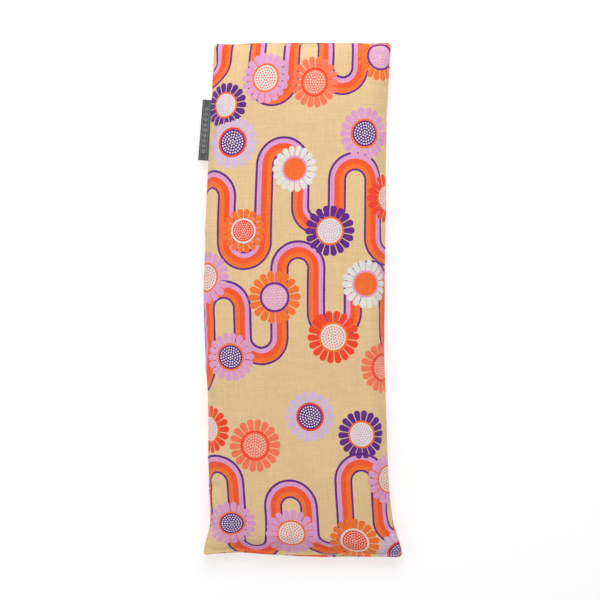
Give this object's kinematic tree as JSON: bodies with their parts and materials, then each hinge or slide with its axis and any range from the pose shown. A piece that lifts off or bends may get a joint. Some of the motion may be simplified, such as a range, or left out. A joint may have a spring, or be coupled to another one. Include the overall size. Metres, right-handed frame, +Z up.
{
  "type": "eye pillow",
  "caption": "Flat, grain-filled relaxation pillow in a long printed cloth cover, with a calico inner bag, an edge-stitched closing end and a small folded woven tab that bends in the side seam.",
  "frame": {"origin": "centre of the flat underside that the pillow lies on, half way along its length", "axes": "+X across the pillow, +Y along it towards the sewn end, +Z up out of the front panel; the tab is in the -X seam"},
  "size_m": [0.185, 0.4694, 0.0274],
  "materials": {
    "printed_cloth": null,
    "calico": "unbleached plain-weave cotton, matt",
    "sewing_thread": "spun polyester thread, slight sheen",
    "loose_grain": "whole dry cereal grain, matt",
    "label_tape": "woven polyester tape, charcoal, satin"
  },
  "bodies": {
    "pillow": {"cover_front_panel": "printed_cloth", "cover_back_panel": "printed_cloth", "cover_left_seam_thread": "sewing_thread", "cover_right_seam_thread": "sewing_thread", "cover_top_seam_thread": "sewing_thread", "cover_closing_thread": "sewing_thread", "inner_bag_front_panel": "calico", "inner_bag_back_panel": "calico", "inner_bag_seam_thread": "sewing_thread", "inner_bag_closing_thread": "sewing_thread", "grain_filling": "loose_grain", "label_seam_edge": "label_tape"},
    "label": {"label_flap": "label_tape"}
  },
  "joints": [
    {"name": "label_bend", "type": "hinge", "parent": "pillow", "child": "label", "pos_m": [-0.08136, 0.15406, 0.013], "axis": [0.0545, 0.9985, 0], "range_deg": [-70, 70], "stiffness_Nm_per_rad": 0.0003}
  ]
}
